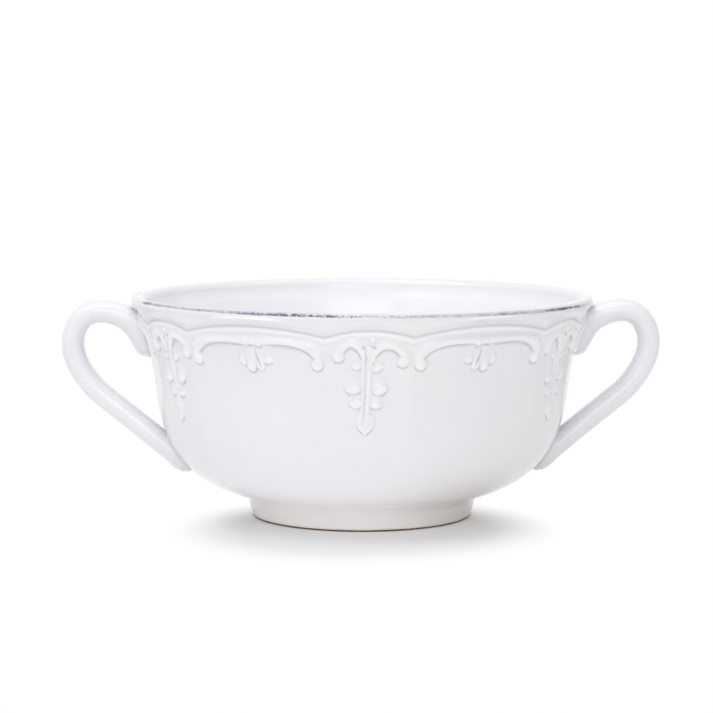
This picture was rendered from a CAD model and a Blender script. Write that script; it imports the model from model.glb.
# Two-handled lug soup bowl of white glazed earthenware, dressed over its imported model.
# Metres, +Z up, handles along X, the front of the relief towards -Y.
from math import cos, pi, radians, sin, tan

import bpy
import numpy as np
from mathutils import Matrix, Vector


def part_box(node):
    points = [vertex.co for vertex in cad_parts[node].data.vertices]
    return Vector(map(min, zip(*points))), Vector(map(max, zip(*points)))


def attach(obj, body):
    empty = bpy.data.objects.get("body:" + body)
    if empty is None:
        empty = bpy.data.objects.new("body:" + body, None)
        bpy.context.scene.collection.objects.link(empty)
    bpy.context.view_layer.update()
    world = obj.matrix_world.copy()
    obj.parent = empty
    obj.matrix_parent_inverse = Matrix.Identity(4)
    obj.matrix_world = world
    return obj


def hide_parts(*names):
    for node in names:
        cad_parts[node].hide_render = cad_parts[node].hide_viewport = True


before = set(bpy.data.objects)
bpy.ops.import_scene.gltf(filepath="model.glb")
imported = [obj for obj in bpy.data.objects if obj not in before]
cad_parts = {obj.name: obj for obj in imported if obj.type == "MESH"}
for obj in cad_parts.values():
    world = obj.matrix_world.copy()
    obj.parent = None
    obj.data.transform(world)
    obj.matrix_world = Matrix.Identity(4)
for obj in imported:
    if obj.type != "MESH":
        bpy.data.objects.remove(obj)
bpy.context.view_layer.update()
mm = 0.001
seamGap = 0.002 * mm  # points closer than this are one point
print("stage: frame loaded,", len(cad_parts), "nodes")


# Hand tools

def setMode(mode):
    bpy.ops.object.mode_set(mode=mode)


def clearSelection():
    if bpy.context.mode != "OBJECT":
        setMode("OBJECT")
    bpy.ops.object.select_all(action="DESELECT")


def pickUp(piece):
    clearSelection()
    piece.select_set(True)
    bpy.context.view_layer.objects.active = piece


def readVectors(parts, key):
    flat = np.empty(len(parts) * 3)
    parts.foreach_get(key, flat)
    return flat.reshape(-1, 3)


def readPoints(piece):
    return readVectors(piece.data.vertices, "co")


def writePoints(piece, points):
    piece.data.vertices.foreach_set("co", np.asarray(points, float).ravel())
    piece.data.update()


# Moves a piece's points towards or away from the bowl's axis
def swellPoints(piece, points, scale):
    points[:, 0] *= scale
    points[:, 1] *= scale
    writePoints(piece, points)


# How much glaze has run into each point of a piece: above 0 in a crevice, below 0 on a ridge
def poolGlaze(piece, amount):
    pool = piece.data.attributes.new("pool", "FLOAT", "POINT")
    pool.data.foreach_set("value", np.asarray(amount, np.float32))


# Enters edit mode with the chosen vertices selected
def selectPoints(piece, chosen):
    pickUp(piece)
    mesh = piece.data
    for parts in (mesh.polygons, mesh.edges):
        parts.foreach_set("select", np.zeros(len(parts), bool))
    mesh.vertices.foreach_set("select", chosen)
    setMode("EDIT")
    bpy.ops.mesh.select_mode(type="VERT")


def closeSeams(piece):
    pickUp(piece)
    setMode("EDIT")
    bpy.ops.mesh.select_all(action="SELECT")
    bpy.ops.mesh.remove_doubles(threshold=seamGap)
    bpy.ops.mesh.normals_make_consistent(inside=False)
    setMode("OBJECT")


def smoothFaces(piece, angle):
    pickUp(piece)
    bpy.ops.object.shade_smooth_by_angle(angle=radians(angle))


def smoothStep(value, low, high):
    t = np.clip((value - low) / (high - low), 0, 1)
    return t * t * (3 - 2 * t)


def curvePoint(points, t):
    t = np.asarray(t, float)[..., None]
    p = np.asarray(points, float)
    return (1 - t) ** 3 * p[0] + 3 * (1 - t) ** 2 * t * p[1] + 3 * (1 - t) * t * t * p[2] + t ** 3 * p[3]


def curveAlong(points, t):
    t = np.asarray(t, float)[..., None]
    p = np.asarray(points, float)
    return 3 * (1 - t) ** 2 * (p[1] - p[0]) + 6 * (1 - t) * t * (p[2] - p[1]) + 3 * t * t * (p[3] - p[2])


def between(a, b, share):
    return [a[0] + (b[0] - a[0]) * share[0], a[1] + (b[1] - a[1]) * share[1]]


def arcPoints(centre, radius, start, end, steps):
    angles = np.radians(np.linspace(start, end, steps + 1))
    return [[centre[0] + radius * cos(a), centre[1] + radius * sin(a)] for a in angles]


# Draws a profile of (radius, height) points from one vertex and spins it round the bowl's axis
def turnedPiece(points, turns):
    clearSelection()
    bpy.ops.mesh.primitive_plane_add(size=mm)
    piece = bpy.context.object
    setMode("EDIT")
    bpy.ops.mesh.select_mode(type="VERT")
    bpy.ops.mesh.select_all(action="SELECT")
    bpy.ops.mesh.merge(type="CENTER")
    bpy.ops.transform.translate(value=(float(points[0][0]), 0, float(points[0][1])))
    for last, here in zip(points, points[1:]):
        step = (float(here[0] - last[0]), 0, float(here[1] - last[1]))
        bpy.ops.mesh.extrude_vertices_move(TRANSFORM_OT_translate={"value": step})
    bpy.ops.mesh.select_all(action="SELECT")
    bpy.ops.mesh.spin(steps=turns, angle=2 * pi, center=(0, 0, 0), axis=(0, 0, 1))
    setMode("OBJECT")
    return piece


# Names a finished piece and puts it in the frame in place of its CAD node
def dress(piece, node, material):
    piece.name = "glazed" + "".join(word.capitalize() for word in node.split("_"))
    piece.data.name = piece.name
    piece.data.materials.clear()
    piece.data.materials.append(material)
    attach(piece, "root")
    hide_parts(node)


# Camera, fitted to the photograph's outlines
cameraLook = {
    "distance": 765 * mm, "height": 130 * mm, "aside": -1.7 * mm,
    "dip": 5.955, "turn": 1.7,  # degrees
    "lens": 122.5, "sensor": 36,
}


def aimAt(thing, target):
    thing.rotation_mode = "QUATERNION"
    thing.rotation_quaternion = (Vector(target) - thing.location).to_track_quat("-Z", "Y")


def makeCamera():
    turn = radians(cameraLook["turn"])
    clearSelection()
    forward = (sin(turn), cos(turn))
    right = (cos(turn), -sin(turn))
    place = (-forward[0] * cameraLook["distance"] + right[0] * cameraLook["aside"],
             -forward[1] * cameraLook["distance"] + right[1] * cameraLook["aside"], cameraLook["height"])
    bpy.ops.object.camera_add(location=place)
    camera = bpy.context.object
    camera.data.lens = cameraLook["lens"]
    camera.data.sensor_width = cameraLook["sensor"]
    aimAt(camera, (place[0] + forward[0], place[1] + forward[1], place[2] - tan(radians(cameraLook["dip"]))))
    bpy.context.scene.camera = camera


# A colour as it shows on screen, from 0 to 255, as the shader's numbers
def linear(red, green, blue):
    shares = [shown / 255 for shown in (red, green, blue)]
    return tuple(v / 12.92 if v <= 0.04045 else ((v + 0.055) / 1.055) ** 2.4 for v in shares)


noiseSpan = (0.3, 0.7)  # most of what a noise gives lies between these


# Materials are laid out node by node with this short desk
class NodeDesk:

    def __init__(self, tree, outputKind="OutputMaterial"):
        self.tree = tree
        self.tree.nodes.clear()
        self.output = self.add(outputKind)

    def add(self, kind, **settings):
        node = self.tree.nodes.new("ShaderNode" + kind)
        for key, value in settings.items():
            setattr(node, key, value)
        return node

    def link(self, a, b):
        self.tree.links.new(a, b)

    # Sets an input to a number or to a colour from 0 to 255, or links it to another node
    def put(self, socket, value):
        if isinstance(value, (int, float)):
            socket.default_value = value
        elif isinstance(value, tuple):
            socket.default_value = (*linear(*value), 1)
        else:
            self.link(value, socket)

    def sum(self, operation, a, b=None):
        node = self.add("Math", operation=operation)
        self.put(node.inputs[0], a)
        if b is not None:
            self.put(node.inputs[1], b)
        return node.outputs[0]

    def times(self, a, b):
        return self.sum("MULTIPLY", a, b)

    def noise(self, vector, scale, detail=2.0, rough=0.5):
        node = self.add("TexNoise")
        node.inputs["Scale"].default_value = scale
        node.inputs["Detail"].default_value = detail
        node.inputs["Roughness"].default_value = rough
        self.link(vector, node.inputs["Vector"])
        return node.outputs["Fac"]

    def range(self, value, fromLow, fromHigh, low, high, kind="LINEAR"):
        node = self.add("MapRange", interpolation_type=kind)
        self.link(value, node.inputs["Value"])
        self.put(node.inputs["From Min"], fromLow)
        self.put(node.inputs["From Max"], fromHigh)
        self.put(node.inputs["To Min"], low)
        self.put(node.inputs["To Max"], high)
        return node.outputs["Result"]

    def ease(self, value, fromLow, fromHigh, low, high):
        return self.range(value, fromLow, fromHigh, low, high, "SMOOTHSTEP")

    # Noise spread over most of its span, from low to high
    def mottle(self, vector, scale, detail, rough, low, high):
        return self.range(self.noise(vector, scale, detail, rough), *noiseSpan, low, high)

    def mixColour(self, share, a, b):
        node = self.add("Mix", data_type="RGBA")
        self.put(node.inputs[0], share)
        self.put(node.inputs[6], a)
        self.put(node.inputs[7], b)
        return node.outputs[2]

    def mixNumber(self, share, a, b):
        node = self.add("Mix", data_type="FLOAT")
        self.put(node.inputs[0], share)
        self.put(node.inputs[2], a)
        self.put(node.inputs[3], b)
        return node.outputs[0]

    def ramp(self, value, stops):
        node = self.add("ValToRGB")
        while len(node.color_ramp.elements) < len(stops):
            node.color_ramp.elements.new(0.5)
        for element, (place, colour) in zip(node.color_ramp.elements, stops):
            element.position = place
            element.color = (*colour, 1)
        self.link(value, node.inputs["Fac"])
        return node.outputs["Color"]

    def axes(self, vector):
        node = self.add("SeparateXYZ")
        self.link(vector, node.inputs[0])
        return node.outputs

    def emit(self, strength, colour=(255, 255, 255)):
        node = self.add("Emission")
        self.put(node.inputs["Color"], colour)
        self.put(node.inputs["Strength"], strength)
        return node

    # Mixes two shaders by a share, or adds them up where none is given
    def join(self, a, b, share=None):
        node = self.add("AddShader" if share is None else "MixShader")
        if share is not None:
            self.link(share, node.inputs[0])
        self.link(a.outputs[0], node.inputs[-2])
        self.link(b.outputs[0], node.inputs[-1])
        return node

    def bump(self, height, depth, strength):
        node = self.add("Bump")
        self.put(node.inputs["Distance"], depth)
        self.put(node.inputs["Strength"], strength)
        self.link(height, node.inputs["Height"])
        return node

    def surface(self, node):
        self.link(node.outputs[0], self.output.inputs["Surface"])

    # 1 where the eye, a reflection or a clear piece looks, 0 where light only bounces
    def looked(self):
        rays = self.add("LightPath")
        seen = self.sum("MAXIMUM", rays.outputs["Is Camera Ray"], rays.outputs["Is Glossy Ray"])
        return self.sum("MAXIMUM", seen, rays.outputs["Is Transmission Ray"])


# Room: a white table, a white world and soft lamps
roomLook = {
    "floor": (251, 250, 248), "floorRight": (221, 216, 209),  # what the table throws back on the bowl
    "bounceLeft": 0.19, "bounceRight": 0.07,  # what it adds to that under the bowl
    "darkFrom": 0.0, "darkTo": 0.04,  # where left turns into right
    "floorGlow": 0.1, "shadeLeft": 0.7, "shadeRight": 0.88, "shadeHalf": 0.045,  # how it shows near the foot
    "floorMiddle": (0, -0.03, 0), "floorNear": 0.035, "floorFar": 0.063,  # it turns plain white in between
    "world": 0.49, "worldColour": (1, 0.992, 0.98), "lampColour": (0.985, 0.993, 1),
    "lamps": {
        "key": {"at": (-0.75, -0.75, 0.95), "to": (0, 0, 0.04), "width": 0.7, "power": 0.6},
        "high": {"at": (-0.45, -0.25, 1.2), "to": (0, 0, 0.04), "width": 0.9, "power": 5.4},
        "top": {"at": (0.1, 0.15, 1.3), "to": (0, 0, 0.03), "width": 1.1, "power": 2.9},
        "front": {"at": (0, -1.3, 0.55), "to": (0, 0, 0.04), "width": 0.9, "power": 4.3},
        "rimLeft": {"at": (-0.95, 0.45, 0.6), "to": (0, 0, 0.05), "width": 0.5, "power": 0.1},
        "rimRight": {"at": (0.95, 0.45, 0.6), "to": (0, 0, 0.05), "width": 0.5, "power": 0.3},
    },
}


def newMaterial(name):
    material = bpy.data.materials.new(name)
    material.use_nodes = True
    return material, NodeDesk(material.node_tree)


def makeFloor():
    clearSelection()
    bpy.ops.mesh.primitive_plane_add(size=60, location=(0, 0, 0))
    floor = bpy.context.object
    floor.name = "floor"
    material, desk = newMaterial("pale floor")
    place = desk.add("TexCoord").outputs["Object"]
    aside = desk.axes(place)[0]
    away = desk.add("VectorMath", operation="DISTANCE")
    away.inputs[1].default_value = roomLook["floorMiddle"]
    desk.link(place, away.inputs[0])
    near, distant = roomLook["floorNear"], roomLook["floorFar"]
    outside = desk.ease(away.outputs["Value"], near, distant, 0, 1)

    # What light bounces off: a table that is a little darker beside the foot's right half
    right = desk.ease(aside, roomLook["darkFrom"], roomLook["darkTo"], 0, 1)
    dark = desk.mixNumber(outside, right, 0)
    lit = desk.add("BsdfDiffuse")
    tone = desk.mixColour(dark, roomLook["floor"], roomLook["floorRight"])
    desk.link(tone, lit.inputs["Color"])
    under = desk.mixNumber(right, roomLook["bounceLeft"], roomLook["bounceRight"])
    bounce = desk.emit(desk.mixNumber(outside, under, 0), roomLook["floor"])
    plain = desk.join(lit, bounce)

    # What the camera sees: a shaded table near the foot, and plain white round it
    half = roomLook["shadeHalf"]
    shaded = desk.add("BsdfDiffuse")
    shade = desk.range(aside, -half, half, roomLook["shadeLeft"], roomLook["shadeRight"])
    desk.link(shade, shaded.inputs["Color"])
    shown = desk.join(desk.join(shaded, desk.emit(roomLook["floorGlow"])), desk.emit(1), outside)
    desk.surface(desk.join(plain, shown, desk.looked()))
    floor.data.materials.append(material)


def makeWorld():
    world = bpy.data.worlds.new("white room")
    bpy.context.scene.world = world
    world.use_nodes = True
    desk = NodeDesk(world.node_tree, "OutputWorld")
    soft = desk.add("Background")
    soft.inputs["Color"].default_value = (*roomLook["worldColour"], 1)
    soft.inputs["Strength"].default_value = roomLook["world"]
    white = desk.add("Background")
    white.inputs["Color"].default_value = (1, 1, 1, 1)
    desk.surface(desk.join(soft, white, desk.looked()))


def makeLamps():
    for name, lampLook in roomLook["lamps"].items():
        clearSelection()
        bpy.ops.object.light_add(type="AREA", location=lampLook["at"])
        lamp = bpy.context.object
        lamp.name = name
        lamp.data.shape = "SQUARE"
        lamp.data.size = lampLook["width"]
        lamp.data.energy = lampLook["power"]
        lamp.data.color = roomLook["lampColour"]
        aimAt(lamp, lampLook["to"])


# Glaze
glazeLook = {
    "white": (239, 238, 244), "cool": (235, 234, 242), "warm": (240, 239, 241),
    "pooled": (202, 202, 207), "thin": (251, 251, 252), "speck": (205, 202, 198),
    "cream": (234, 227, 216), "creamShare": 0.3,  # the glaze's tint near the table
    "creamFrom": 2 * mm, "creamTo": 15 * mm,
    "roughLow": 0.10, "roughHigh": 0.17, "ior": 1.5,
    "peel": 0.006 * mm, "wave": 0.05 * mm,  # depths of its orange peel and of its broad waves
    "waveStrength": 0.5, "peelStrength": 0.6,
    # how many clouds, specks and waves lie side by side in a metre
    "broadScale": 26, "cloudScale": 90, "speckScale": 1500,
    "roughScale": 60, "waveScale": 75, "peelScale": 700,
}


# Colour, roughness and bump that all the glazed pieces share
def glazeCoat(desk):
    place = desk.add("TexCoord").outputs["Object"]
    broad = desk.mottle(place, glazeLook["broadScale"], 3, 0.55, 0, 1)
    tone = desk.mixColour(broad, glazeLook["cool"], glazeLook["warm"])
    cloud = desk.range(desk.noise(place, glazeLook["cloudScale"], 2), 0.35, 0.7, 0.25, 0.75)
    tone = desk.mixColour(cloud, tone, glazeLook["white"])
    pool = desk.add("Attribute", attribute_name="pool").outputs["Fac"]
    tone = desk.mixColour(desk.range(pool, 0.03, 0.6, 0, 0.8), tone, glazeLook["pooled"])
    tone = desk.mixColour(desk.range(pool, -0.03, -0.5, 0, 0.6), tone, glazeLook["thin"])
    height, share = desk.axes(place)[2], glazeLook["creamShare"]
    low = desk.range(height, glazeLook["creamFrom"], glazeLook["creamTo"], share, 0)
    tone = desk.mixColour(low, tone, glazeLook["cream"])
    specks = desk.ease(desk.noise(place, glazeLook["speckScale"], 2, 0.6), 0.72, 0.8, 0, 0.18)
    tone = desk.mixColour(specks, tone, glazeLook["speck"])
    roughs = glazeLook["roughLow"], glazeLook["roughHigh"]
    rough = desk.mottle(place, glazeLook["roughScale"], 3, 0.6, *roughs)
    waves = desk.noise(place, glazeLook["waveScale"], 2, 0.45)
    wave = desk.bump(waves, glazeLook["wave"], glazeLook["waveStrength"])
    peels = desk.noise(place, glazeLook["peelScale"], 2)
    peel = desk.bump(peels, glazeLook["peel"], glazeLook["peelStrength"])
    desk.link(wave.outputs["Normal"], peel.inputs["Normal"])
    return place, tone, rough, peel.outputs["Normal"]


def fireGlaze(desk, tone, rough, normal):
    shader = desk.add("BsdfPrincipled")
    shader.inputs["IOR"].default_value = glazeLook["ior"]
    desk.link(tone, shader.inputs["Base Color"])
    desk.link(rough, shader.inputs["Roughness"])
    desk.link(normal, shader.inputs["Normal"])
    desk.surface(shader)


def plainGlaze():
    material, desk = newMaterial("white glaze")
    fireGlaze(desk, *glazeCoat(desk)[1:])
    return material


# Worn line on the lip's outer corner, a wash with specks along its lower side. Each place is an angle from
# the front in degrees, how strong the wash and the specks are there, and the stain
wornLook = {
    "low": 68.75 * mm, "width": 1.25 * mm, "lean": 0.0083, "wander": 0.13 * mm,
    "insideRadius": 70.7 * mm, "insideSoft": 0.25 * mm, "dull": 0.5,
    "wanderScale": 60, "washScale": 420, "gritScale": 2100, "crumbScale": 620,
    "stains": {
        "umber": (112, 101, 99), "ash": (125, 118, 124), "blue": (127, 131, 161), "deepBlue": (94, 100, 136),
        "slate": (98, 98, 117), "ink": (63, 62, 86), "soot": (34, 32, 50),
    },
    "places": [
        (-90, 0.35, 0.35, "umber"), (-74, 0.35, 0.25, "umber"), (-66, 0.55, 0.8, "umber"),
        (-60, 0.6, 0.58, "ash"), (-54, 0.7, 0.62, "ash"), (-48, 0.8, 0.5, "ash"),
        (-42, 0.95, 0.62, "blue"), (-36, 1.0, 0.5, "blue"), (-30, 1.0, 0.72, "deepBlue"),
        (-24, 1.0, 0.74, "deepBlue"), (-18, 0.95, 0.88, "ink"), (-12, 0.82, 0.68, "ink"),
        (-6, 0.75, 0.64, "ink"), (0, 0.65, 0.42, "ash"), (6, 0.75, 0.48, "ash"),
        (12, 0.8, 0.44, "ash"), (18, 0.78, 0.44, "ash"), (24, 0.7, 0.38, "ash"),
        (30, 0.8, 0.48, "ash"), (36, 0.9, 0.6, "slate"), (42, 0.88, 0.38, "slate"),
        (48, 0.92, 0.72, "slate"), (54, 0.95, 1.0, "soot"), (60, 0.9, 0.96, "soot"),
        (66, 0.65, 0.5, "slate"), (78, 0.3, 0.3, "ash"), (105, 0.6, 0.6, "umber"),
        (140, 0.8, 0.82, "ink"), (165, 0.7, 0.5, "ash"), (190, 0.85, 0.58, "deepBlue"),
        (215, 0.75, 0.78, "ink"), (245, 0.55, 0.5, "umber"),
    ],
}


def wornGlaze():
    material, desk = newMaterial("worn lip glaze")
    place, tone, rough, normal = glazeCoat(desk)
    x, y, z = desk.axes(place)
    radius = desk.sum("SQRT", desk.sum("ADD", desk.times(x, x), desk.times(y, y)))
    spun = desk.add("TexGradient", gradient_type="RADIAL")
    desk.link(place, spun.inputs["Vector"])
    turn = spun.outputs["Fac"]
    strengths, inks = [], []
    for angle, wash, speck, stain in wornLook["places"]:
        at = 0.25 + angle / 360
        strengths.append((at, (wash, speck, 0)))
        inks.append((at, linear(*wornLook["stains"][stain])))
    amounts = desk.add("SeparateColor")
    desk.link(desk.ramp(turn, strengths), amounts.inputs[0])
    ink = desk.ramp(turn, inks)
    wander = desk.mottle(place, wornLook["wanderScale"], 4, 0.6, -wornLook["wander"], wornLook["wander"])
    lean = desk.times(x, wornLook["lean"])
    height = desk.sum("ADD", desk.sum("ADD", z, lean), wander)
    up = desk.sum("DIVIDE", desk.sum("SUBTRACT", height, wornLook["low"]), wornLook["width"])
    inside = wornLook["insideRadius"]
    outer = desk.ease(radius, inside, inside + wornLook["insideSoft"], 0, 1)
    start = desk.times(desk.ease(up, -0.08, 0.12, 0, 1), outer)
    wash = desk.times(start, desk.ease(up, 0.7, 1.15, 1, 0))
    cloud = desk.range(desk.noise(place, wornLook["washScale"], 3, 0.65), 0.32, 0.62, 0.45, 1)
    wash = desk.times(wash, desk.times(cloud, amounts.outputs[0]))
    thread = desk.times(start, desk.ease(up, 0.4, 0.95, 1, 0))
    grit = desk.range(desk.noise(place, wornLook["gritScale"], 2, 0.6), 0.32, 0.68, 0, 0.75)
    crumbs = desk.range(desk.noise(place, wornLook["crumbScale"], 3, 0.6), 0.32, 0.68, 0, 0.45)
    speck = desk.times(desk.times(desk.sum("ADD", grit, crumbs), thread), amounts.outputs[1])
    speck = desk.ease(speck, 0.2, 0.5, 0, 0.92)
    stain = desk.mixColour(0.55, ink, glazeLook["white"])
    tone = desk.mixColour(desk.times(wash, 0.95), tone, stain)
    dull = desk.mixNumber(speck, rough, wornLook["dull"])
    fireGlaze(desk, desk.mixColour(speck, tone, ink), dull, normal)
    return material


# Foot's glaze: it stops just above the table and leaves the brown clay bare
footLook = {
    "bare": (74, 58, 46), "baked": (112, 92, 74), "stain": (196, 184, 170),
    "line": 0.5 * mm, "soft": 0.12 * mm, "wander": 0.07 * mm, "dull": 0.8,
    "stainFrom": 0.1 * mm, "stainTo": 0.8 * mm,  # above the line
    "wanderScale": 95, "clayScale": 420,
}


def footGlaze():
    material, desk = newMaterial("foot glaze")
    place, tone, rough, normal = glazeCoat(desk)
    wander = desk.mottle(place, footLook["wanderScale"], 3, 0.6, -footLook["wander"], footLook["wander"])
    height = desk.sum("ADD", desk.axes(place)[2], wander)
    line = footLook["line"]
    bare = desk.ease(height, line, line + footLook["soft"], 1, 0)
    baked = desk.range(desk.noise(place, footLook["clayScale"], 3, 0.6), 0.35, 0.65, 0, 1)
    clay = desk.mixColour(baked, footLook["bare"], footLook["baked"])
    start, end = line + footLook["stainFrom"], line + footLook["stainTo"]
    stain = desk.ease(height, start, end, 0.35, 0)
    tone = desk.mixColour(stain, tone, footLook["stain"])
    fireGlaze(desk, desk.mixColour(bare, tone, clay), desk.mixNumber(bare, rough, footLook["dull"]), normal)
    return material


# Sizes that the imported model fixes
bowlLow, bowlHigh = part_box("bowl")
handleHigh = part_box("handle_right")[1]
rimRadius = bowlHigh.x
bowlHeight = bowlHigh.z

# Bowl
bowlShape = {
    "baseRadius": 31 * mm, "baseHeight": bowlLow.z,
    "waistRadius": 65 * mm, "waistHeight": 40 * mm,
    "throatRadius": 70 * mm, "throatHeight": 63.2 * mm,
    "wall": 4.2 * mm, "lip": 4.6 * mm,
    "lipEdge": 1.3 * mm, "lipInner": 2.6 * mm, "lipFace": 1.9 * mm,
    "fineFrom": 57 * mm,  # above this height the rows lie close, for the band's shelf
    "bellyRows": 33, "lowRows": 11, "fineRows": 30, "lipRows": 9, "insideRows": (12, 21), "turns": 720,
    "skin": 0.4, "slack": 0.1 * mm,  # how far into the wall and above it its outer side counts
    "poolReach": 0.5 * mm, "poolFull": 0.15 * mm,  # how far a hollow is felt, and how deep a full one is
    "thinInside": 0.5, "thinLow": 0.4,  # how thin the glaze lies inside and low on the belly
    "lowFrom": 8 * mm, "lowTo": 18 * mm,
}
# Shallow ridges between the panels, which die away down the belly
lobeShape = {
    "height": 0.42 * mm, "flank": 3.2 * mm, "soft": 0.7 * mm, "fadeLow": 13 * mm, "fadeHigh": 30 * mm,
    "narrowHalf": radians(10.6), "pitch": radians(60),
}
# Rim band, whose lower edge arches over each panel, and the thin rib and thickened wall under it
bandShape = {
    "proud": 0.62 * mm, "roll": 1.9 * mm, "narrowRise": 2.1 * mm, "wideRise": 2.8 * mm,
    "feather": 0.012 * mm, "top": 68.5 * mm, "bury": 0.7 * mm, "sunk": 0.04 * mm, "tuck": 0.4 * mm,
    "faceSteps": 8, "rollSteps": 10, "backSteps": 8, "pool": 0.13,
}
shelfShape = {
    "rib": 0.24 * mm, "ribDrop": 1.3 * mm, "ribHalf": 0.75 * mm,
    "swell": 0.42 * mm, "swellFrom": 0.23 * mm, "swellFull": 2.2 * mm,
    "swellFade": 3.6 * mm, "swellEnd": 6.4 * mm,
}

basePoint = [bowlShape["baseRadius"], bowlShape["baseHeight"]]
waistPoint = [bowlShape["waistRadius"], bowlShape["waistHeight"]]
throatPoint = [bowlShape["throatRadius"], bowlShape["throatHeight"]]
bandTop = bowlHeight - bowlShape["lipEdge"] - bowlShape["lipFace"]
shoulderPoint = [(throatPoint[0] + rimRadius) / 2, bandTop]
lipFoot = [rimRadius, bandTop + bowlShape["lipFace"] / 2]
bellyCurve = [basePoint, between(basePoint, waistPoint, (0.418, 0.104)),
              between(basePoint, waistPoint, (0.924, 0.22)), waistPoint]
wallCurve = [waistPoint, between(waistPoint, throatPoint, (0.108, 0.243)),
             between(waistPoint, throatPoint, (0.519, 0.706)), throatPoint]
curveShares = np.linspace(0, 1, 200)
outerLine = np.concatenate([
    curvePoint(bellyCurve, curveShares), curvePoint(wallCurve, curveShares[1:]), [shoulderPoint, lipFoot],
])


def plainRadius(height):
    return np.interp(height, outerLine[:, 1], outerLine[:, 0])


# Offset of an angle from the middle of the nearest pendant's panel
def fromPendant(angle):
    pitch = lobeShape["pitch"]
    return np.abs((angle + pitch / 2) % pitch - pitch / 2)


# Height of the rim band's scalloped lower edge
def bandEdge(angle):
    fold = fromPendant(angle)
    half = lobeShape["narrowHalf"]
    wide = lobeShape["pitch"] / 2 - half
    narrow = bandShape["narrowRise"] * (1 - (fold / half) ** 2)
    broad = bandShape["wideRise"] * (1 - ((lobeShape["pitch"] / 2 - fold) / wide) ** 2)
    return throatPoint[1] + np.where(fold < half, narrow, broad)


# How far the wall stands out of its plain profile
def wallLift(angle, height):
    across = (fromPendant(angle) - lobeShape["narrowHalf"]) * plainRadius(height)
    soft = lobeShape["soft"]
    ridge = np.exp(-(np.sqrt(across ** 2 + soft ** 2) - soft) / lobeShape["flank"])
    fade = smoothStep(height, lobeShape["fadeLow"], lobeShape["fadeHigh"])
    drop = bandEdge(angle) - height
    rib = np.exp(-((drop - shelfShape["ribDrop"]) / shelfShape["ribHalf"]) ** 2)
    swell = smoothStep(drop, shelfShape["swellFrom"], shelfShape["swellFull"])
    swell = swell * (1 - smoothStep(drop, shelfShape["swellFade"], shelfShape["swellEnd"]))
    return lobeShape["height"] * ridge * fade + shelfShape["rib"] * rib + shelfShape["swell"] * swell


def wallRadius(angle, height):
    return plainRadius(height) + wallLift(angle, height)


def roundPlace(points):
    return np.arctan2(points[:, 0], -points[:, 1]), np.hypot(points[:, 0], points[:, 1])


# Outline of the bowl's clay: up its outer side, over the lip and down the inside
def bowlProfile():
    edge, inner = bowlShape["lipEdge"], bowlShape["lipInner"]
    lipIn = rimRadius - bowlShape["lip"]
    fine, rows = bowlShape["fineFrom"], bowlShape["lipRows"]
    lowWall = np.linspace(waistPoint[1], fine, bowlShape["lowRows"] + 1)[1:]
    highWall = np.linspace(fine, bandTop, bowlShape["fineRows"] + 1)[1:]
    outer = list(curvePoint(bellyCurve, np.linspace(0, 1, bowlShape["bellyRows"] + 1)))
    outer += [[plainRadius(h), h] for h in np.concatenate([lowWall, highWall])]
    lip = [lipFoot] + arcPoints([rimRadius - edge, bowlHeight - edge], edge, 0, 90, rows)
    lip += arcPoints([lipIn + inner, bowlHeight - inner], inner, 90, 180, rows)
    wallRows, bellyRows = bowlShape["insideRows"]
    wallShares = np.linspace(1, 0, wallRows + 1)
    bellyShares = np.linspace(1, 0, bellyRows + 1)[1:]
    inside = []
    for curve, shares in ((wallCurve, wallShares), (bellyCurve, bellyShares)):
        along = curveAlong(curve, shares)
        inward = np.stack([-along[:, 1], along[:, 0]], 1)
        inward /= np.linalg.norm(inward, axis=1)[:, None]
        inside += list(curvePoint(curve, shares) + bowlShape["wall"] * inward)
    return [[0, basePoint[1]]] + outer + lip + inside + [[0, inside[-1][1]]]


def makeBowl(material):
    piece = turnedPiece(bowlProfile(), bowlShape["turns"])
    points = readPoints(piece)
    angle, radius = roundPlace(points)
    height = points[:, 2]
    onWall = radius > plainRadius(height) - bowlShape["wall"] * bowlShape["skin"]
    onWall &= height < bandTop + bowlShape["slack"]
    onWall &= height > basePoint[1] + mm
    scale = np.where(onWall, wallRadius(angle, height) / np.maximum(radius, mm), 1)
    swellPoints(piece, points, scale)
    reach = bowlShape["poolReach"]
    above, below = wallLift(angle, height + reach), wallLift(angle, height - reach)
    hollow = (above + below) / 2 - wallLift(angle, height)
    inward = smoothStep(rimRadius - bowlShape["lip"] - radius, -mm, mm) * (height > basePoint[1] + mm)
    low = 1 - smoothStep(height, bowlShape["lowFrom"], bowlShape["lowTo"])
    pool = np.where(onWall, hollow / bowlShape["poolFull"], -bowlShape["thinInside"] * inward)
    poolGlaze(piece, pool - bowlShape["thinLow"] * low * (inward == 0))
    closeSeams(piece)
    smoothFaces(piece, 60)
    dress(piece, "bowl", material)


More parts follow.
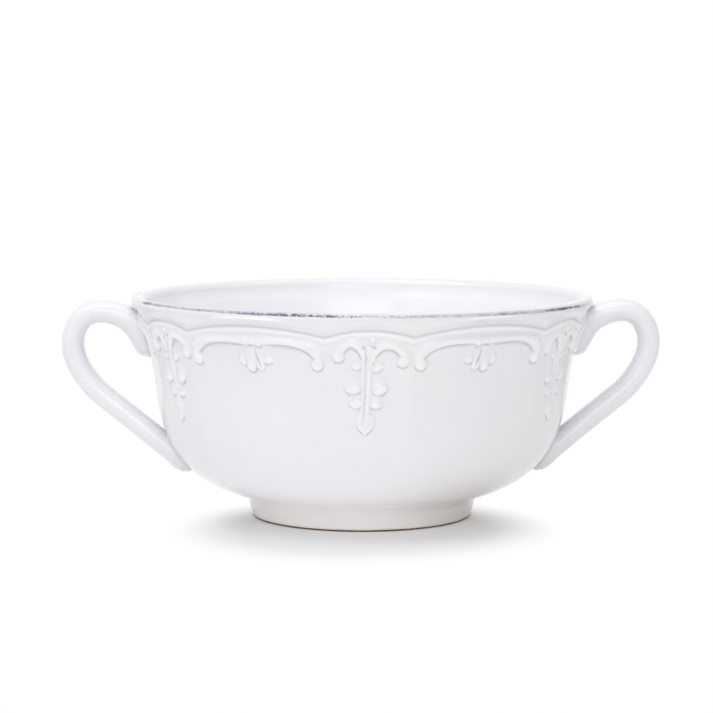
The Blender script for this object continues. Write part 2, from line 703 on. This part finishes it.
# A spun ring laid out as the band: down its face, round its rolled edge and up inside the wall
def makeRimBand(material):
    face, roll, back = bandShape["faceSteps"], bandShape["rollSteps"], bandShape["backSteps"]
    sides = face + roll + back
    piece = turnedPiece(arcPoints([rimRadius, 0], mm, 0, 360, sides), bowlShape["turns"])
    points = readPoints(piece)
    angle, radius = roundPlace(points)
    turn = np.arctan2(points[:, 2], radius - rimRadius)
    step = np.round((turn % (2 * pi)) / (2 * pi) * sides).astype(int) % sides
    top = bandShape["top"]
    edge = bandEdge(angle)
    low = edge + bandShape["roll"]
    lift = wallLift(angle, edge)
    share = np.clip(step / face, 0, 1)
    faceHeight = top + (low - top) * share
    faceEnd = plainRadius(low) + bandShape["proud"] + lift
    faceStart = rimRadius + bandShape["feather"]
    faceRadius = faceStart + (faceEnd - faceStart) * share ** 1.3
    bend = np.clip((step - face) / roll, 0, 1)
    skin = plainRadius(edge) + lift - bandShape["sunk"]
    rollRadius = faceEnd + (skin - faceEnd) * smoothStep(bend, -0.15, 1)
    rollHeight = low - bandShape["roll"] * bend
    share = np.clip((step - face - roll) / (back - 1), 0, 1)
    backHeight = low + (top - bandShape["tuck"] - low) * share
    backRadius = plainRadius(low) - bandShape["bury"] + (rimRadius - mm - plainRadius(low)) * share
    parts = [step <= face, step < face + roll]
    height = np.select(parts, [faceHeight, rollHeight], backHeight)
    radius = np.select(parts, [faceRadius, rollRadius], backRadius)
    writePoints(piece, np.stack([radius * np.sin(angle), -radius * np.cos(angle), height], 1))
    poolGlaze(piece, bandShape["pool"] * smoothStep(bend, 0.1, 0.9))
    closeSeams(piece)
    smoothFaces(piece, 60)
    dress(piece, "rim_band", material)


# Foot ring, thrown with a slight wobble near the table
footShape = {
    "table": 34.8 * mm, "top": 35.8 * mm, "side": 4.2 * mm, "width": 4.4 * mm, "edge": 0.5 * mm,
    "meet": 39.2 * mm, "cornerShare": 0.6, "draft": 0.4 * mm, "bury": mm, "turns": 360,
    "wobble": 0.05 * mm, "wobbleDeep": 2 * mm, "wobbleFull": 0.2 * mm, "wobbleEnd": 3 * mm,
    "waves": ((3, 0.6, 0.5), (7, 2, 0.3)),  # how many round the foot, where they start, how strong
    "thin": 0.4,  # how thin its glaze lies
}


def makeFoot(material):
    table = footShape["table"]
    inner = table - footShape["width"]
    edge = footShape["edge"]
    side = [footShape["top"], footShape["side"]]
    belly = curvePoint(bellyCurve, curveShares)
    meetHeight = np.interp(footShape["meet"], belly[:, 0], belly[:, 1])
    meet = [footShape["meet"], meetHeight]
    corner = [footShape["top"], side[1] + (meetHeight - side[1]) * footShape["cornerShare"]]
    hollow = [[(1 - t) ** 2 * side[k] + 2 * (1 - t) * t * corner[k] + t * t * meet[k] for k in (0, 1)]
              for t in np.linspace(0, 1, 12)]
    profile = arcPoints([inner + edge, edge], edge, 180, 270, 4)
    profile += arcPoints([table - edge, edge], edge, 270, 360, 5)
    profile += [[table + (side[0] - table) * s, edge + (side[1] - edge) * s] for s in (0.25, 0.5, 0.75)]
    profile += hollow + [[footShape["meet"], meetHeight + footShape["bury"]]]
    back = inner - footShape["draft"]
    profile += [[back, basePoint[1] + footShape["bury"]], [back, basePoint[1]], profile[0]]
    piece = turnedPiece(profile, footShape["turns"])
    points = readPoints(piece)
    angle, radius = roundPlace(points)
    low = 1 - smoothStep(points[:, 2], footShape["wobbleFull"], footShape["wobbleEnd"])
    waves = sum(np.sin(count * angle + start) * share for count, start, share in footShape["waves"])
    wave = footShape["wobble"] * (waves - 0.5)
    scale = 1 + np.where(radius > table - footShape["wobbleDeep"], wave * low / radius, 0)
    swellPoints(piece, points, scale)
    poolGlaze(piece, np.full(len(points), -footShape["thin"]))
    closeSeams(piece)
    smoothFaces(piece, 50)
    dress(piece, "foot_ring", material)


# Handles: a pulled strap that runs through four curves, luted to the wall and to the belly
handleShape = {
    "reach": handleHigh.x, "top": handleHigh.z, "thick": 7 * mm, "wide": 9.6 * mm,
    "flareThick": 3.8 * mm, "flareWide": 3.4 * mm, "flareShare": 0.38,
    "rootHeight": 54.9 * mm, "rootDepth": 1.0 * mm, "toeHeight": 18.2 * mm, "toeOut": 0.8 * mm,
    "rootRound": 4.2 * mm, "toeRound": 5.4 * mm, "square": 2.25, "fillet": 1.1 * mm,
    "sunk": 2.4 * mm,  # how deep in the wall the handle's ends go
    "pool": 0.5,  # how much glaze gathers in the fillet
    "rings": 48, "endRings": 8, "endOpen": 0.4, "sides": 56,
    # places on the middle line, as shares of the way from the toe to the upper outer corner
    "loopShares": [
        (0.358, 0.935), (0.59, 1), (0.745, 1),
        (0.898, 1), (1, 0.903), (1, 0.775),
        (1, 0.657), (0.853, 0.502), (0.713, 0.423),
        (0.524, 0.315), (0.153, 0.103),
    ],
}


# Rings of the handle's middle line: place, direction, half thickness, half width
def handleRings():
    s = handleShape
    root = [float(plainRadius(s["rootHeight"])) - s["rootDepth"], s["rootHeight"]]
    toe = [float(plainRadius(s["toeHeight"])) + s["toeOut"], s["toeHeight"]]
    corner = [s["reach"] - s["thick"] / 2, s["top"] - s["thick"] / 2]
    line = [root] + [between(toe, corner, share) for share in s["loopShares"]] + [toe]
    rings = []
    for c in range(4):
        curve = line[3 * c:3 * c + 4]
        for t in np.arange(s["rings"] + (c == 3)) / s["rings"]:
            flareRoot = 1 / (1 + (t / s["flareShare"]) ** 4) if c == 0 else 0
            flareToe = t * t if c == 3 else 0
            along = curveAlong(curve, t)
            rings.append((curvePoint(curve, t), along / np.linalg.norm(along),
                          (s["thick"] + s["flareThick"] * flareRoot) / 2,
                          (s["wide"] + s["flareWide"] * (flareRoot + flareToe)) / 2))
    ends = []
    angles = [pi / 2 * i / (s["endRings"] + s["endOpen"]) for i in range(1, s["endRings"] + 1)]
    for ring, length in ((rings[0], -s["rootRound"]), (rings[-1], s["toeRound"])):
        place, along, halfThick, halfWide = ring
        ends.append([(place + along * length * sin(a), along, halfThick * cos(a), halfWide * cos(a))
                     for a in angles])
    return ends[0][::-1] + rings + ends[1]


def makeHandle(side, node, material):
    s = handleShape
    rings = handleRings()
    clearSelection()
    bpy.ops.mesh.primitive_grid_add(x_subdivisions=s["sides"], y_subdivisions=len(rings) - 1, size=1)
    piece = bpy.context.object
    flat = readPoints(piece)
    turn = (flat[:, 0] + 0.5) * 2 * pi
    ring = np.round((flat[:, 1] + 0.5) * (len(rings) - 1)).astype(int)
    place, along, halfThick, halfWide = (np.array([r[k] for r in rings])[ring] for k in range(4))
    out = np.stack([-along[:, 1], along[:, 0]], 1)
    power = 2 / s["square"]
    c = np.sign(np.cos(turn)) * np.abs(np.cos(turn)) ** power
    w = np.sign(np.sin(turn)) * np.abs(np.sin(turn)) ** power
    x = place[:, 0] + out[:, 0] * halfThick * c
    z = place[:, 1] + out[:, 1] * halfThick * c
    y = halfWide * w
    # Slip fillet: what lies near the wall spreads along it
    lean = np.interp(z, outerLine[:, 1], np.gradient(outerLine[:, 0], outerLine[:, 1]))
    gap = (np.hypot(x, y) - wallRadius(np.arctan2(x, -y), z)) / np.sqrt(1 + lean ** 2)
    near = np.clip(1 - gap / s["fillet"], 0, 1)
    spread = s["fillet"] * (1 - np.sqrt(1 - near ** 2))
    normal = np.stack([out[:, 0] * c / halfThick, w / halfWide, out[:, 1] * c / halfThick], 1)
    around = np.arctan2(y, x)
    wall = np.stack([np.cos(around), np.sin(around), -lean], 1)
    wall /= np.linalg.norm(wall, axis=1)[:, None]
    normal -= wall * (normal * wall).sum(1)[:, None]
    normal /= np.maximum(np.linalg.norm(normal, axis=1), 1e-9)[:, None]
    deep = np.minimum(gap + s["sunk"], 0)
    points = np.stack([x, y, z], 1) + normal * spread[:, None] - wall * deep[:, None]
    points[:, 0] *= side
    writePoints(piece, points)
    poolGlaze(piece, near * s["pool"])
    closeSeams(piece)
    pickUp(piece)
    setMode("EDIT")
    bpy.ops.mesh.select_all(action="DESELECT")
    bpy.ops.mesh.select_mode(type="EDGE")
    bpy.ops.mesh.select_non_manifold(extend=False, use_boundary=True, use_wire=False,
                                     use_multi_face=False, use_non_contiguous=False, use_verts=False)
    bpy.ops.mesh.edge_face_add()
    bpy.ops.mesh.select_mode(type="VERT")
    setMode("OBJECT")
    closeSeams(piece)
    smoothFaces(piece, 60)
    dress(piece, node, material)


# Relief: every motif is drawn in millimetres, u round the bowl and z above the table
reliefShape = {
    "grain": 0.13,  # spacing of the clay's points
    "melt": 0.27,  # how softly the beads run together
    "sink": 0.025,  # how far the skirt ends under the wall
    "cut": -0.92,  # height at which the skirt is cut off
    "girth": 67.5,  # radius on which u is measured
    "slope": 1.1,  # fall of the clay outside its outline
    "back": 0.9 * mm,
    "poolReach": 0.85, "poolFull": 0.45,  # how far a crevice is felt, and how deep a full one is
    "frontLean": -3.0, "leanPivot": 60.0,
}


# Distance from a stroke's middle line, place along it, and which side of it
def fromStroke(u, z, curve, steps=40):
    best = np.full(u.shape, 1e9)
    share = np.zeros(u.shape)
    side = np.zeros(u.shape)
    reach = 0.5 / (steps - 1)
    for t in np.linspace(0, 1, steps):
        along = curveAlong(curve, t)
        du, dz = u - curvePoint(curve, t)[0], z - curvePoint(curve, t)[1]
        ahead = np.clip((du * along[0] + dz * along[1]) / (along @ along), -reach, reach)
        distance = np.hypot(du - ahead * along[0], dz - ahead * along[1])
        closer = distance < best
        best = np.where(closer, distance, best)
        share = np.where(closer, np.clip(t + ahead, 0, 1), share)
        side = np.where(closer, along[0] * dz - along[1] * du, side)
    return best, share, np.sign(side)


# A rounded stroke of clay. Its left side, seen along it, is melt times wider and runs out softly
def bead(u, z, curve, widths, tall, melt=1.0, crisp=0.6):
    distance, share, side = fromStroke(u, z, curve)
    half = np.interp(share, np.linspace(0, 1, len(widths)), widths) / 2
    half = half * np.where(side > 0, melt, 1.0)
    q = distance / half
    power = np.where((side > 0) & (melt > 1), 1.3, crisp)
    inside = tall * np.maximum(1 - q * q, 0) ** power
    return np.where(q < 1, inside, -(distance - half) * reliefShape["slope"])


# A husk's leaf: it rises slowly out of the wall and ends in a crisp round lower edge, like the rim of a cup
def leaf(u, z, at, half, below, above, tall, tilt=0.0, crisp=0.45, fade=4.0):
    du, dz = u - at[0], z - at[1]
    a = radians(tilt)
    across = (du * cos(a) + dz * sin(a)) / half
    up = -du * sin(a) + dz * cos(a)
    q = np.hypot(across, up / np.where(up < 0, below, above))
    rise = np.clip(up / above, 0, 1)
    face = np.maximum(1 - np.where(up < 0, q, np.abs(across)) ** 2, 0) ** (crisp + fade * rise)
    inside = tall * face * (1 - rise) ** 1.4
    return np.where(q < 1, inside, -(q - 1) * np.minimum(half, below) * reliefShape["slope"])


# A round boss, such as a curl's end or a bud
def boss(u, z, at, radius, tall, crisp=0.55):
    q = np.hypot(u - at[0], z - at[1]) / radius
    inside = tall * np.maximum(1 - q * q, 0) ** crisp
    return np.where(q < 1, inside, -(q - 1) * radius * reliefShape["slope"])


def groove(u, z, curve, width, deep):
    distance, share, side = fromStroke(u, z, curve, 24)
    fade = np.minimum(np.minimum(share, 1 - share) * 6, 1)
    return deep * np.exp(-(distance / width) ** 2) * (0.3 + 0.7 * fade)


def straight(a, b):
    return [a, between(a, b, (1 / 3, 1 / 3)), between(a, b, (2 / 3, 2 / 3)), b]


def runTogether(heights, grooves):
    melt = reliefShape["melt"]
    total = 1.0 + sum(np.exp(np.clip(h, -6, 6) / melt) for h in heights)
    skin = melt * np.log(total) - reliefShape["sink"]
    return skin - sum(grooves) * smoothStep(skin, 0.05, 0.6)


# The lance tip at the foot of a pendant
lanceShape = {
    # heights and half widths of its outline, from the point up
    "outline": ((33.9, 34.7, 36.0, 37.4, 39.0, 40.4, 42.0), (0.2, 1.2, 2.3, 2.75, 2.65, 2.3, 1.9)),
    "topFrom": 38.8, "topTo": 42.4,  # where it runs out into the stem
    "softFrom": 39.4, "softTo": 42.0, "crisp": 0.45, "soft": 1.5,
    "below": 0.3, "above": 1.2,  # how far from its point it rises
    "sink": 1.2,
}


def lance(u, z, tall):
    s = lanceShape
    half = np.interp(z, *s["outline"])
    tip = s["outline"][0][0]
    top = 1 - smoothStep(z, s["topFrom"], s["topTo"])
    q = np.abs(u) / half
    crisp = s["crisp"] + s["soft"] * smoothStep(z, s["softFrom"], s["softTo"])
    rise = smoothStep(z, tip - s["below"], tip + s["above"]) ** 0.5
    inside = tall * np.maximum(1 - q ** 3, 0) ** crisp * top * rise
    outside = -np.maximum(np.abs(u) - half, tip - z) * reliefShape["slope"]
    return np.where((q < 1) & (z > tip), inside, outside) - (1 - top) * s["sink"]


# Stem with two curled arms, a bud over a caret notch, three pairs of leaves and a lance tip
def pendantClay(u, z):
    arm = (1.2, 2.0, 2.1, 2.0, 2.1, 2.5)
    heights = [
        lance(u - 0.05, z, 0.85),
        boss(u, z, (0.75, 62.3), 0.85, 0.85, crisp=0.8),
        bead(-u, z, [(1.5, 56.6), (2.2, 60.8), (6.5, 62.8), (8.8, 57.3)], arm, 1.1, melt=1.9),
        boss(u, z, (-8.7, 56.9), 1.85, 1.35),
        bead(u, z, [(1.3, 56.4), (1.5, 61.8), (8.4, 62.0), (10.3, 57.2)], arm, 1.1, melt=1.9),
        boss(u, z, (10.0, 56.2), 1.8, 1.35),
        leaf(u, z, (-3.4, 54.3), 1.6, 1.15, 2.8, 0.85, tilt=6),
        leaf(u, z, (2.75, 54.2), 1.8, 1.3, 2.8, 0.95, tilt=24),
        leaf(u, z, (-4.0, 47.6), 2.5, 1.8, 4.6, 1.3, tilt=6),
        leaf(u, z, (3.85, 47.8), 2.35, 1.8, 4.0, 1.3, tilt=20),
        leaf(u, z, (-2.9, 43.1), 2.05, 1.45, 3.4, 0.95, tilt=8),
        leaf(u, z, (3.05, 43.0), 1.95, 1.15, 3.2, 0.95, tilt=6),
        bead(u, z, straight((0.45, 59.6), (0.25, 38.6)), (2.9, 2.2, 1.9, 2.3, 1.9, 2.0), 0.65, crisp=0.8),
        bead(u, z, straight((-1.3, 58.6), (-0.9, 39.0)), (1.6, 1.2, 1.0, 1.0), 0.45, crisp=1.1),
    ]
    grooves = [
        groove(u, z, straight((-0.3, 61.4), (-2.0, 59.5)), 0.36, 0.85),
        groove(u, z, straight((-0.6, 61.4), (1.75, 59.9)), 0.36, 0.85),
        groove(u, z, [(-1.05, 60.2), (-0.75, 54.0), (-0.2, 46.0), (-0.62, 36.4)], 0.26, 0.55),
        groove(u, z, straight((1.1, 53.4), (1.8, 47.6)), 0.28, 0.3),
    ]
    return runTogether(heights, grooves)


# Half of a panel's scroll, for u from the panel's middle outwards: a bar with a round curl at its end
def scrollClay(u, z, start):
    heights = [
        bead(u, z, [(start, 61.2), (9.5, 61.7), (20.2, 61.6), (20.7, 56.3)],
             (2.6, 2.4, 2.1, 2.1, 2.5, 3.2, 3.3, 2.5), 1.25, melt=1.5),
        boss(u, z, (20.3, 54.8), 1.9, 1.4),
    ]
    grooves = [groove(u, z, [(15.5, 63.0), (19.2, 62.2), (21.9, 60.4), (22.4, 57.4)], 0.3, 0.16)]
    return runTogether(heights, grooves)


# Bellflower: two nubs over the bar, a broad petal with a bulge, two narrow petals beside it and a leaf
def flowerClay(u, z):
    heights = [
        boss(u, z, (0.35, 61.1), 1.3, 1.55, crisp=0.9),
        boss(u, z, (2.85, 60.9), 1.45, 1.5, crisp=0.9),
        leaf(u, z, (-0.15, 54.0), 1.8, 2.1, 7.2, 1.5, fade=0.6, crisp=0.5),
        leaf(u, z, (-2.4, 55.9), 1.8, 2.2, 4.4, 0.95, tilt=-20, fade=3.0),
        leaf(u, z, (2.75, 54.0), 1.4, 1.65, 5.8, 1.1, tilt=8, fade=1.8, crisp=0.55),
        leaf(u, z, (5.3, 55.7), 1.6, 1.15, 3.8, 0.9, tilt=4),
    ]
    grooves = [
        groove(u, z, [(1.15, 60.0), (1.3, 57.4), (2.3, 55.6), (3.3, 53.2)], 0.24, 0.8),
        groove(u, z, [(-3.9, 58.2), (-2.4, 59.8), (0.4, 60.2), (1.7, 59.9)], 0.3, 0.55),
        groove(u, z, straight((1.0, 62.9), (0.95, 60.3)), 0.26, 0.8),
        groove(u, z, [(-1.8, 58.4), (-2.0, 56.8), (-1.8, 55.0), (-1.2, 53.4)], 0.26, 0.4),
    ]
    return runTogether(heights, grooves)


# Mould of a motif: a fine flat grid with the clay's height as its third coordinate, cut along the skirt
def cutMould(clay, low, high):
    grain = reliefShape["grain"]
    clearSelection()
    bpy.ops.mesh.primitive_grid_add(x_subdivisions=int((high[0] - low[0]) / grain),
                                    y_subdivisions=int((high[1] - low[1]) / grain), size=1)
    mould = bpy.context.object
    flat = readPoints(mould)
    u = low[0] + (flat[:, 0] + 0.5) * (high[0] - low[0])
    z = low[1] + (flat[:, 1] + 0.5) * (high[1] - low[1])
    raised = clay(u, z)
    writePoints(mould, np.stack([u, z, raised], 1) * mm)
    reach = reliefShape["poolReach"]
    beside = ((reach, 0), (-reach, 0), (0, reach), (0, -reach))
    right, left, above, below = (np.maximum(clay(u + du, z + dz), 0) for du, dz in beside)
    hollow = ((right + left + above + below) / 4 - np.maximum(raised, 0)) / reliefShape["poolFull"]
    underside = np.clip((above - below) / reach, 0, 1)  # glaze gathers most under an edge
    poolGlaze(mould, np.where(hollow > 0, hollow * (0.2 + 1.1 * underside), hollow))
    melt = reliefShape["melt"]
    cutHeight = melt * np.log(1 + np.exp(reliefShape["cut"] / melt)) - reliefShape["sink"]
    selectPoints(mould, raised < cutHeight)
    bpy.ops.mesh.delete(type="VERT")
    bpy.ops.mesh.select_all(action="SELECT")
    bpy.ops.mesh.delete_loose()
    bpy.ops.mesh.normals_make_consistent(inside=False)
    setMode("OBJECT")
    return mould


# Turns a sprig's open skin so that its faces look outwards
def turnOutward(piece):
    faces = piece.data.polygons
    outward = readVectors(faces, "center")[:, :2] * readVectors(faces, "normal")[:, :2]
    if outward.sum() < 0:
        piece.data.flip_normals()


# Lays a copy of a mould's sprig on the wall at an angle round the bowl
def laySprig(mould, middle, flip=False, lean=0.0):
    pickUp(mould)
    bpy.ops.object.duplicate(linked=False)
    piece = bpy.context.object
    u, z, raised = readPoints(piece).T / mm
    pivot = reliefShape["leanPivot"]
    a = radians(lean)
    across = (u * cos(a) - (z - pivot) * sin(a)) * (-1 if flip else 1)
    height = (pivot + u * sin(a) + (z - pivot) * cos(a)) * mm
    angle = middle + across / reliefShape["girth"]
    radius = wallRadius(angle, height) + raised * mm
    writePoints(piece, np.stack([radius * np.sin(angle), -radius * np.cos(angle), height], 1))
    turnOutward(piece)
    shell = piece.modifiers.new("back", "SOLIDIFY")
    shell.thickness = reliefShape["back"]
    shell.offset = -1
    pickUp(piece)
    bpy.ops.object.modifier_apply(modifier=shell.name)
    smoothFaces(piece, 70)
    return piece


# Panels round the bowl, to the right from the front: pendants, with scrolls and flowers between them
pendantPlaces = ["front", "front_right", "back_right", "back", "back_left", "front_left"]
scrollPlaces = [
    ("front_right_inner", "front_right_outer"), ("right_front", "right_back"),
    ("back_right_outer", "back_right_inner"), ("back_left_inner", "back_left_outer"),
    ("left_back", "left_front"), ("front_left_outer", "front_left_inner"),
]
flowerPlaces = ["front_right", "", "back_right", "back_left", "", "front_left"]
# Corners of the clay that each motif is cut from, and where a scroll starts beside a flower or handle
sprigCloth = {
    "pendantLow": (-13, 32.5), "pendantHigh": (13, 64.8),
    "scrollLow": 51.6, "scrollHigh": (24.6, 65.6), "margin": 2.2,
    "besideFlower": 1.2, "besideHandle": 6.9,
    "flowerLow": (-6, 50), "flowerHigh": (9.8, 64.8),
}


def makeRelief(material):
    pitch = lobeShape["pitch"]
    cloth = sprigCloth
    starts = [cloth["besideFlower" if place else "besideHandle"] for place in flowerPlaces]
    pendantMould = cutMould(pendantClay, cloth["pendantLow"], cloth["pendantHigh"])
    flowerMould = cutMould(flowerClay, cloth["flowerLow"], cloth["flowerHigh"])
    scrollMoulds = {}
    for start in set(starts):
        low = (start - cloth["margin"], cloth["scrollLow"])
        scrollMoulds[start] = cutMould(lambda u, z: scrollClay(u, z, start), low, cloth["scrollHigh"])
    print("stage: moulds cut")
    for i, place in enumerate(pendantPlaces):
        piece = laySprig(pendantMould, pitch * i, lean=reliefShape["frontLean"] if i == 0 else 0.0)
        dress(piece, "pendant_" + place, material)
    for i, pair in enumerate(scrollPlaces):
        for side, place in enumerate(pair):
            piece = laySprig(scrollMoulds[starts[i]], pitch * (i + 0.5), flip=side == 0)
            dress(piece, "scroll_" + place, material)
        if flowerPlaces[i]:
            piece = laySprig(flowerMould, pitch * (i + 0.5), flip=i % 2 == 0)
            dress(piece, "bellflower_" + flowerPlaces[i], material)
    for mould in [pendantMould, flowerMould] + list(scrollMoulds.values()):
        bpy.data.objects.remove(mould)


makeCamera()
makeWorld()
makeFloor()
makeLamps()
bpy.context.scene.view_settings.view_transform = "Standard"
print("stage: room and camera ready")

whiteGlaze = plainGlaze()
makeBowl(wornGlaze())
print("stage: bowl turned")
makeRimBand(whiteGlaze)
makeFoot(footGlaze())
makeHandle(1, "handle_right", whiteGlaze)
makeHandle(-1, "handle_left", whiteGlaze)
print("stage: band, foot and handles luted on")
makeRelief(whiteGlaze)
print("stage: relief pressed")
